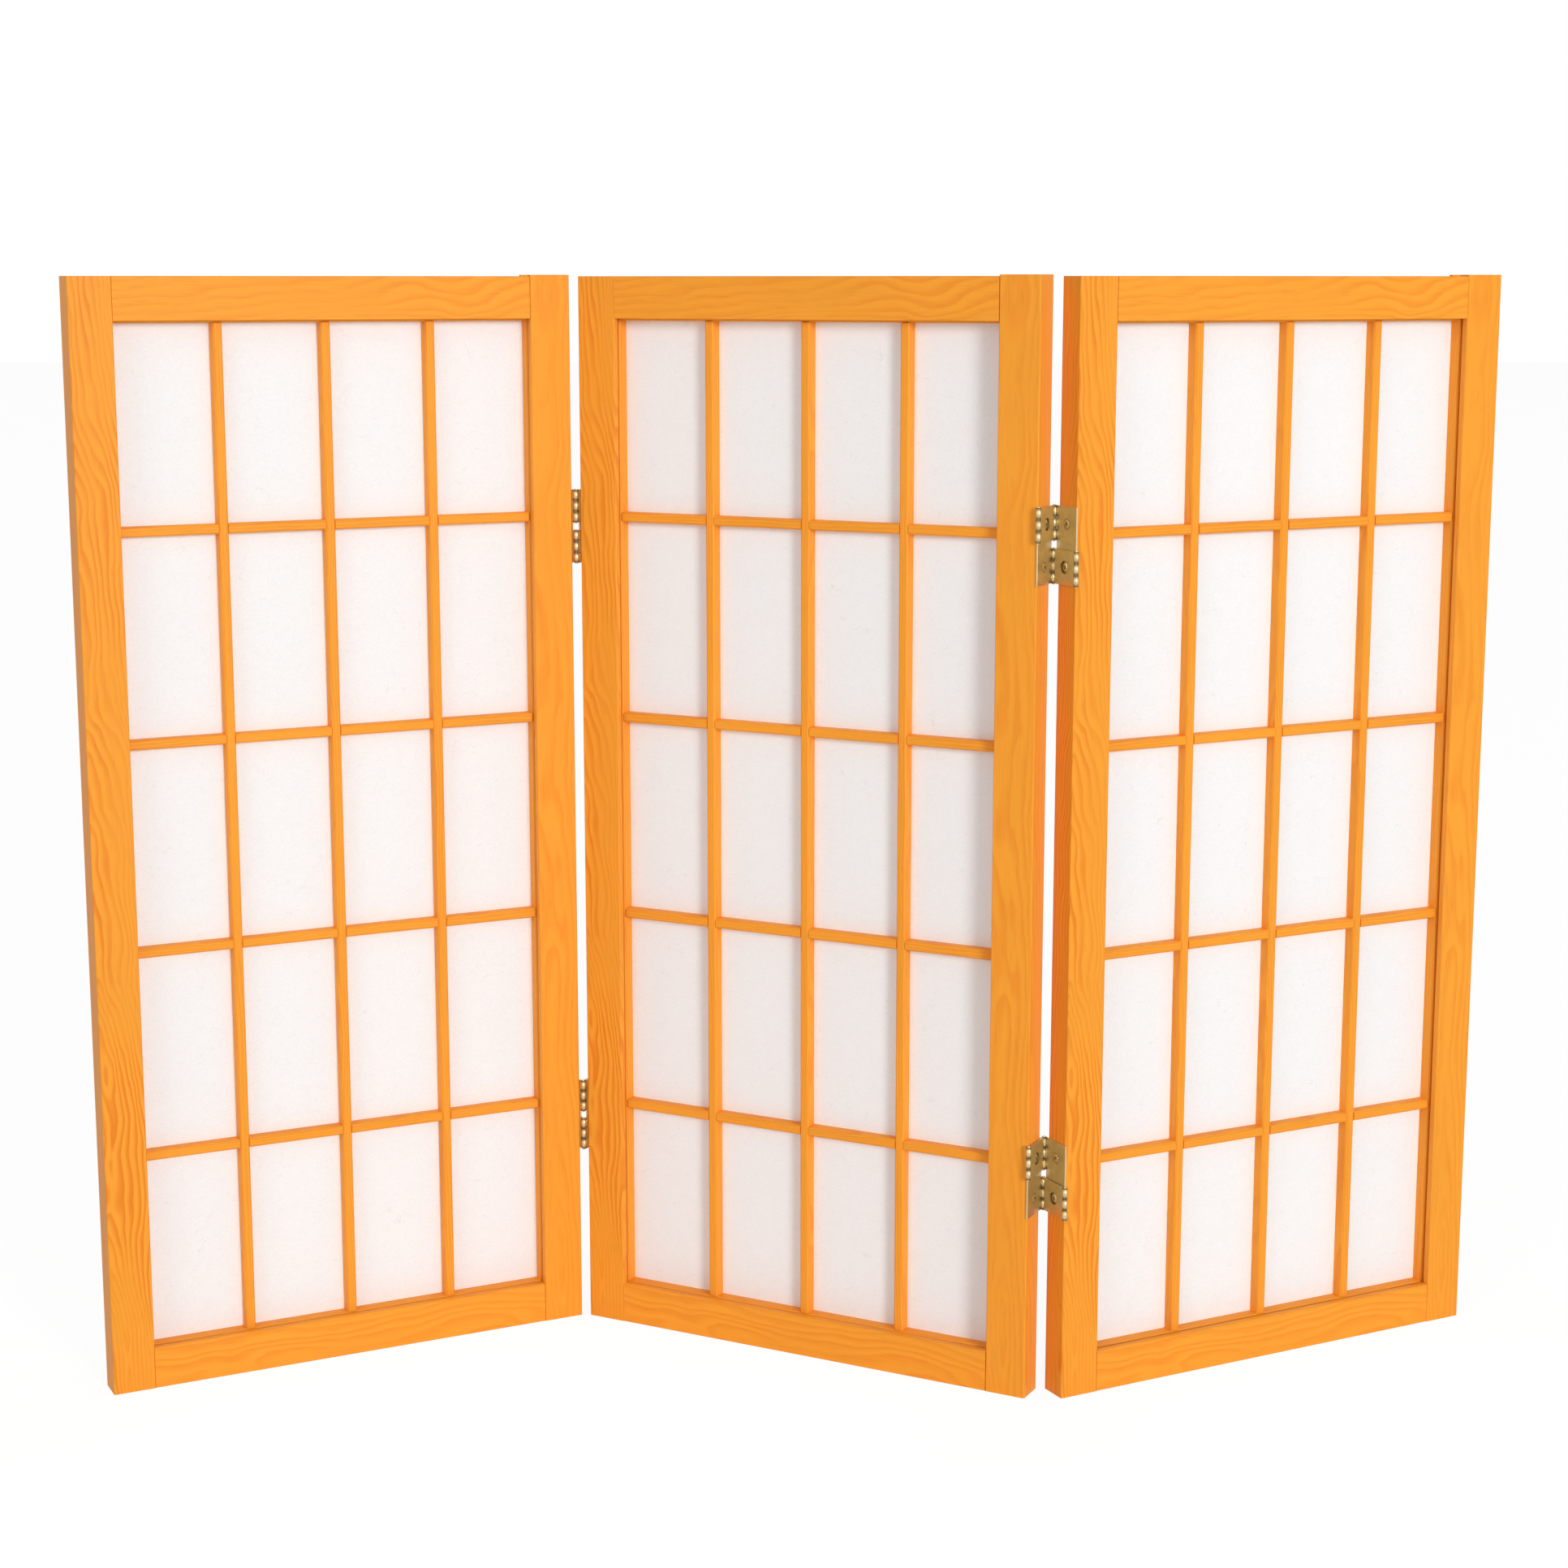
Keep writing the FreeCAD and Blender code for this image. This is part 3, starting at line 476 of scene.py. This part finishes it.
def makeBrassGroup(plan):
    # brushed metal with a thin uneven patina, and painted shade round holes and between knuckles
    group, entry, leave = newGroup(
        "antiqueBrass",
        [("vector", "vector", None), ("seed", "number", 0.0), ("bright", "colour", None),
         ("dull", "colour", None), ("grime", "colour", None), ("roughness", "number", 0.34),
         ("beading", "number", 0.0), ("ringRadius", "number", 0.0)],
        [("colour", "colour"), ("roughness", "number"), ("height", "number")],
    )
    given = entry.outputs
    vector, seed = given["vector"], given["seed"]
    patina = addNoise(group, stretched(group, vector, plan["patinaScale"]), seed, 3.0, 0.5)
    drawn = addNoise(group, stretched(group, vector, plan["drawnScale"]), seed, 2.0, 0.6)
    mask = addMath(group, "MULTIPLY_ADD", drawn, plan["drawnShare"],
                   addMath(group, "MULTIPLY", patina, plan["patinaShare"]))
    mask = addRange(group, mask, *plan["patinaRange"])
    parts = group.nodes.new("ShaderNodeSeparateXYZ")
    put(group, parts.inputs[0], vector)
    depth = addMath(group, "ABSOLUTE", parts.outputs[1])
    height = addMath(group, "ABSOLUTE", parts.outputs[2])
    # from -1 to 1 along each knuckle
    along = addMath(group, "DIVIDE", addMath(group, "SUBTRACT", height, hingePlan["barrelShift"]),
                    hingePlan["knucklePitch"])
    along = addMath(group, "SUBTRACT", addMath(group, "FRACT", addMath(group, "ADD", along, 0.5)), 0.5)
    along = addMath(group, "MULTIPLY", along, 2.0)
    waist = addMath(group, "MULTIPLY", along, along)
    onBarrel = addMath(group, "MULTIPLY", given["beading"], addRange(
        group, depth, hingePlan["plateEnd"], hingePlan["plateEnd"] + plan["barrelStart"]))
    waist = addMath(group, "MULTIPLY", waist, onBarrel)
    # painted shade: a dark line round the screw or its access hole, where the gap lies in shade
    height = addMath(group, "SUBTRACT", height, hingePlan["screwShift"])
    reach = addMath(group, "SQRT", addMath(group, "ADD", addMath(group, "MULTIPLY", height, height),
                                           addMath(group, "MULTIPLY", depth, depth)))
    ring = addMath(group, "ABSOLUTE", addMath(group, "SUBTRACT", reach, given["ringRadius"]))
    ring = addRange(group, ring, *plan["ringFade"], 1.0, 0.0)
    # painted shade: the darker of the line round a hole and the joints between knuckles
    dark = addMath(group, "MAXIMUM", addMath(group, "MULTIPLY", ring, plan["ringPaintedShade"]),
                   addRange(group, waist, *plan["waistRange"], 0.0, plan["waistPaintedShade"]))
    colour = addMix(group, mask, given["bright"], given["dull"])
    put(group, leave.inputs["colour"], addMix(group, dark, colour, given["grime"]))
    rough = addMath(group, "MULTIPLY_ADD", mask, plan["patinaRougher"], given["roughness"])
    rough = addMath(group, "MULTIPLY_ADD", dark, plan["grimeRougher"], rough)
    put(group, leave.inputs["roughness"], rough)
    relief = addMath(group, "MULTIPLY_ADD", drawn, plan["drawnRelief"], patina)
    relief = addMath(group, "MULTIPLY", relief, plan["relief"])
    put(group, leave.inputs["height"], addMath(group, "MULTIPLY_ADD", waist, -1.0, relief))
    return group


brassGroup = makeBrassGroup(brassPlan)


def makeBrass(name, seed, centre, turn, plan, beading=0.0, ringRadius=0.0):
    material, tree, shader = newMaterial(name)
    metal = useGroup(tree, brassGroup, vector=localCoordinates(tree, centre, turn), seed=seed,
                     bright=plan["bright"], dull=plan["dull"], grime=plan["grime"],
                     roughness=plan["roughness"], beading=beading, ringRadius=ringRadius)
    put(tree, shader.inputs["Base Color"], metal.outputs["colour"])
    put(tree, shader.inputs["Roughness"], metal.outputs["roughness"])
    shader.inputs["Metallic"].default_value = 1.0
    addRelief(tree, shader, metal.outputs["height"], plan["bump"], plan["edgeRadius"])
    return material


# the paper of the centre panel, whose middle is the origin, tells how deep paper lies
paperDepth = boxMiddle("centre_panel_paper").xy.length


def panelMatrix(panel):
    # a panel's own axes, from its middle on the floor
    turn = Matrix.Rotation(math.radians(panelYaw[panel]), 4, "Z")
    middle = boxMiddle(f"{panel}_panel_paper") - turn @ Vector((0, paperDepth, 0))
    return Matrix.Translation((middle.x, middle.y, 0)) @ turn


def dressHinge(node):
    fold, level = node.split("_fold_")[0], node.split("_")[2]
    panel = "centre" if "_centre_" in node else fold
    turn = memberTurn(panelYaw[panel], False)
    seed = hingePlan["seedStep"] * len(node) + hingeNodes.index(node)
    if node.endswith("_pins") or node.endswith("_screws"):
        dress(node, makeBrass("brass_" + node, seed, (0, 0, 0), turn, screwPlan))
        return
    centre = panelMatrix(panel) @ Vector((0, 0, hingePlan["levels"][level]))
    ringRadius = hingePlan["accessRing" if node.endswith("_link") else "screwRing"]
    dress(node, makeBrass("brass_" + node, seed, centre, turn, brassPlan, 1.0, ringRadius))


hingeNodes = [node for node in nodes if "_fold_" in node]
for node in hingeNodes:
    dressHinge(node)
print("brass finished")


# Pin heads, a low dome on both ends of every hinge pin, and the crowned heads of the screws.
# a head's outline from its rim to its crown, in shares of its radius and height
domeOutline = ((1.0, 0.0), (0.98, 0.3), (0.8, 0.72), (0.42, 0.95), (0.0, 1.0))
pinPlan = {
    "headRadius": 0.00135,
    "headHeight": 0.0010,
    "segments": 20,
}
screwHeadPlan = {
    "faceOut": 0.0012,  # panel edge to the face of a leaf
    # facing heads stay apart with the panels in line, and one nearly fills the link's hole
    "open": {"radius": 0.0038, "height": 0.0005},
    "underLink": {"radius": 0.0044, "height": 0.0013},
    "slotLength": 0.0042,
    "slotWidth": 0.0007,
    "slotDepth": 0.0004,
    "turns": (20.0, 65.0, 38.0, 80.0),  # how far each cross was driven
    "segments": 32,
    "sharpAngle": 35.0,
}
# the panel edge that holds each set of leaves, the side its upper barrel is on (-1 is the front),
# and the half of each leaf that a link covers (-1 is the lower)
hingeEdges = {
    "left_fold_outer": {"panel": "left", "edge": 1, "upperSide": -1, "linkedHalf": -1},
    "left_fold_centre": {"panel": "centre", "edge": -1, "upperSide": 1, "linkedHalf": 1},
    "right_fold_centre": {"panel": "centre", "edge": 1, "upperSide": -1, "linkedHalf": 1},
    "right_fold_outer": {"panel": "right", "edge": -1, "upperSide": 1, "linkedHalf": -1},
}


def addDome(work, place, radius, height, segments):
    # the outline, spun into a low dome that points along Z
    corners = [work.verts.new(Vector((radius * out, 0, height * up))) for out, up in domeOutline]
    edges = [work.edges.new(pair) for pair in zip(corners, corners[1:])]
    bmesh.ops.spin(work, geom=corners + edges, cent=(0, 0, 0), axis=(0, 0, 1), angle=math.tau,
                   steps=segments, use_merge=True, use_duplicate=False)
    rim = [edge for edge in work.edges if edge.is_boundary]
    bmesh.ops.contextual_create(work, geom=rim)
    dome = [vertex for vertex in work.verts if not vertex.tag]
    bmesh.ops.transform(work, matrix=place, verts=dome)
    for vertex in dome:
        vertex.tag = True


def finishHeads(name, work, panel, plan):
    # the heads of one panel edge as one smooth piece
    bmesh.ops.remove_doubles(work, verts=work.verts, dist=mergeDistance)
    bmesh.ops.recalc_face_normals(work, faces=work.faces)
    mesh = bpy.data.meshes.new(name)
    work.to_mesh(mesh)
    work.free()
    piece = bpy.data.objects.new(name, mesh)
    bpy.context.scene.collection.objects.link(piece)
    mesh.materials.append(makeBrass("brass_" + name, hingePlan["headSeed"], (0, 0, 0), (0, 0, 0), plan))
    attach(piece, panel + "_panel")
    return piece


def makePinHeads(name, edge, plan):
    frameOfPanel = panelMatrix(edge["panel"])
    across = (hingePlan["panelWidth"] / 2 + hingePlan["edgeToAxis"]) * edge["edge"]
    work = bmesh.new()
    for level in hingePlan["levels"].values():
        for half in (1, -1):
            depth = hingePlan["axisDepth"] * edge["upperSide"] * half
            middle = level + hingePlan["barrelShift"] * half
            for end in (1, -1):
                spot = Vector((across, depth, middle + hingePlan["barrelLength"] / 2 * end))
                place = frameOfPanel @ Matrix.Translation(spot)
                if end < 0:
                    place = place @ Matrix.Rotation(math.pi, 4, "X")
                addDome(work, place, plan["headRadius"], plan["headHeight"], plan["segments"])
    finishHeads(name, work, edge["panel"], screwPlan).data.shade_smooth()


def addCross(work, place, plan):
    # a block with an arm drawn out of each side, to cut a cross slot with
    block = Matrix.Diagonal((plan["slotWidth"], plan["slotWidth"], plan["slotDepth"] * 2, 1))
    corners = bmesh.ops.create_cube(work, size=1.0, matrix=block)["verts"]
    sides = {face for corner in corners for face in corner.link_faces if abs(face.normal.z) < 0.5}
    arms = bmesh.ops.extrude_discrete_faces(work, faces=list(sides))["faces"]
    reach = (plan["slotLength"] - plan["slotWidth"]) / 2
    for arm in arms:
        bmesh.ops.translate(work, vec=arm.normal * reach, verts=arm.verts)
    cross = [vertex for vertex in work.verts if not vertex.tag]
    bmesh.ops.transform(work, matrix=place, verts=cross)
    for vertex in cross:
        vertex.tag = True


def makeScrewHeads(name, edge, plan):
    # low domes on the flat heads, with a cross cut into each
    frameOfPanel = panelMatrix(edge["panel"])
    across = (hingePlan["panelWidth"] / 2 + plan["faceOut"]) * edge["edge"]
    outward = Matrix.Rotation(math.radians(90 * edge["edge"]), 4, "Y")
    work = bmesh.new()
    cutter = bmesh.new()
    halves = [(level, half) for level in hingePlan["levels"].values() for half in (1, -1)]
    for (level, half), turn in zip(halves, plan["turns"]):
        spot = level + hingePlan["screwShift"] * half
        head = plan["underLink" if half == edge["linkedHalf"] else "open"]
        place = frameOfPanel @ Matrix.Translation((across, 0, spot)) @ outward
        addDome(work, place, head["radius"], head["height"], plan["segments"])
        turned = Matrix.Rotation(math.radians(turn), 4, "Z")
        addCross(cutter, place @ Matrix.Translation((0, 0, head["height"])) @ turned, plan)
    heads = finishHeads(name, work, edge["panel"], brassPlan)
    bmesh.ops.remove_doubles(cutter, verts=cutter.verts, dist=mergeDistance)
    bmesh.ops.recalc_face_normals(cutter, faces=cutter.faces)
    mesh = bpy.data.meshes.new("cross")
    cutter.to_mesh(mesh)
    cutter.free()
    # the slot faces take the dark brass, painted shade in the slot
    mesh.materials.append(makeBrass("brass_cross_" + name, hingePlan["headSeed"], (0, 0, 0), (0, 0, 0),
                                    crossPlan))
    cross = bpy.data.objects.new("cross", mesh)
    bpy.context.scene.collection.objects.link(cross)
    cut = heads.modifiers.new("cross", "BOOLEAN")
    cut.operation = "DIFFERENCE"
    cut.material_mode = "TRANSFER"
    cut.object = cross
    bpy.context.view_layer.update()
    evaluated = heads.evaluated_get(bpy.context.evaluated_depsgraph_get())
    heads.data = bpy.data.meshes.new_from_object(evaluated)
    heads.modifiers.clear()
    bpy.data.objects.remove(cross)
    heads.data.shade_smooth()
    heads.data.set_sharp_from_angle(angle=math.radians(plan["sharpAngle"]))


for name, edge in hingeEdges.items():
    makePinHeads(name + "_pin_heads", edge, pinPlan)
    makeScrewHeads(name + "_screw_heads", edge, screwHeadPlan)
print("pin and screw heads finished")


# Floor, light and camera.
stagePlan = {
    "floorSize": 60.0,
    "floorColour": (0.90, 0.90, 0.90, 1.0),
    "floorWhite": 1.12,
    "floorWhiteShare": 0.8,
    "worldStrength": 0.42,
    "lampAim": (0.0, 0.0, 0.45),
}
# the key stands to the right and low, the fill to the left and larger
lampPlan = {
    "key": {"position": (5.5, -10.6, 3.0), "size": 3.4, "power": 735.0},
    "fill": {"position": (-6.8, -9.6, 4.6), "size": 6.5, "power": 190.0},
}
cameraPlan = {
    "position": (-0.02075, -2.33281, 0.91118),
    "pitch": -10.061,
    "yaw": -0.053,
    "lens": 65.20,
    "sensor": 36.0,
}


def seenDirectly(tree):
    # 1 for what the camera, a reflection or glass shows, 0 for what lights the object
    path = tree.nodes.new("ShaderNodeLightPath")
    seen = addMath(tree, "MAXIMUM", path.outputs["Is Camera Ray"], path.outputs["Is Glossy Ray"])
    return addMath(tree, "MAXIMUM", seen, path.outputs["Is Transmission Ray"])


def makeFloor(plan):
    mesh = bpy.data.meshes.new("floor")
    work = bmesh.new()
    bmesh.ops.create_grid(work, x_segments=1, y_segments=1, size=plan["floorSize"] / 2)
    work.to_mesh(mesh)
    work.free()
    floor = bpy.data.objects.new("floor", mesh)
    bpy.context.scene.collection.objects.link(floor)
    material = bpy.data.materials.new("floor")
    material.use_nodes = True
    tree = material.node_tree
    tree.nodes.clear()
    output = tree.nodes.new("ShaderNodeOutputMaterial")
    matt = tree.nodes.new("ShaderNodeBsdfDiffuse")
    matt.inputs["Color"].default_value = plan["floorColour"]
    white = tree.nodes.new("ShaderNodeEmission")
    white.inputs["Strength"].default_value = plan["floorWhite"]
    mix = tree.nodes.new("ShaderNodeMixShader")
    put(tree, mix.inputs[0], addMath(tree, "MULTIPLY", seenDirectly(tree),
                                     plan["floorWhiteShare"]))
    tree.links.new(matt.outputs[0], mix.inputs[1])
    tree.links.new(white.outputs[0], mix.inputs[2])
    tree.links.new(mix.outputs[0], output.inputs["Surface"])
    mesh.materials.append(material)


def makeWorld(plan):
    world = bpy.data.worlds.new("studio")
    bpy.context.scene.world = world
    world.use_nodes = True
    tree = world.node_tree
    tree.nodes.clear()
    output = tree.nodes.new("ShaderNodeOutputWorld")
    background = tree.nodes.new("ShaderNodeBackground")
    background.inputs["Color"].default_value = (1.0, 1.0, 1.0, 1.0)
    put(tree, background.inputs["Strength"],
        addRange(tree, seenDirectly(tree), 0.0, 1.0, plan["worldStrength"], 1.0, smooth=False))
    tree.links.new(background.outputs[0], output.inputs["Surface"])


def aimedAt(position, target):
    return (Vector(target) - Vector(position)).to_track_quat("-Z", "Y").to_euler()


def makeLamp(name, plan, target):
    lamp = bpy.data.lights.new(name, "AREA")
    lamp.shape = "DISK"
    lamp.size = plan["size"]
    lamp.energy = plan["power"]
    holder = bpy.data.objects.new(name, lamp)
    holder.location = plan["position"]
    holder.rotation_euler = aimedAt(plan["position"], target)
    bpy.context.scene.collection.objects.link(holder)


def makeCamera(plan):
    data = bpy.data.cameras.new("camera")
    data.lens = plan["lens"]
    data.sensor_width = plan["sensor"]
    camera = bpy.data.objects.new("camera", data)
    camera.location = plan["position"]
    camera.rotation_euler = Euler((math.radians(90 + plan["pitch"]), 0,
                                   math.radians(plan["yaw"])))
    bpy.context.scene.collection.objects.link(camera)
    bpy.context.scene.camera = camera


makeFloor(stagePlan)
makeWorld(stagePlan)
for name, plan in lampPlan.items():
    makeLamp(name, plan, stagePlan["lampAim"])
makeCamera(cameraPlan)
bpy.context.scene.view_settings.view_transform = "Standard"
print("stage finished")
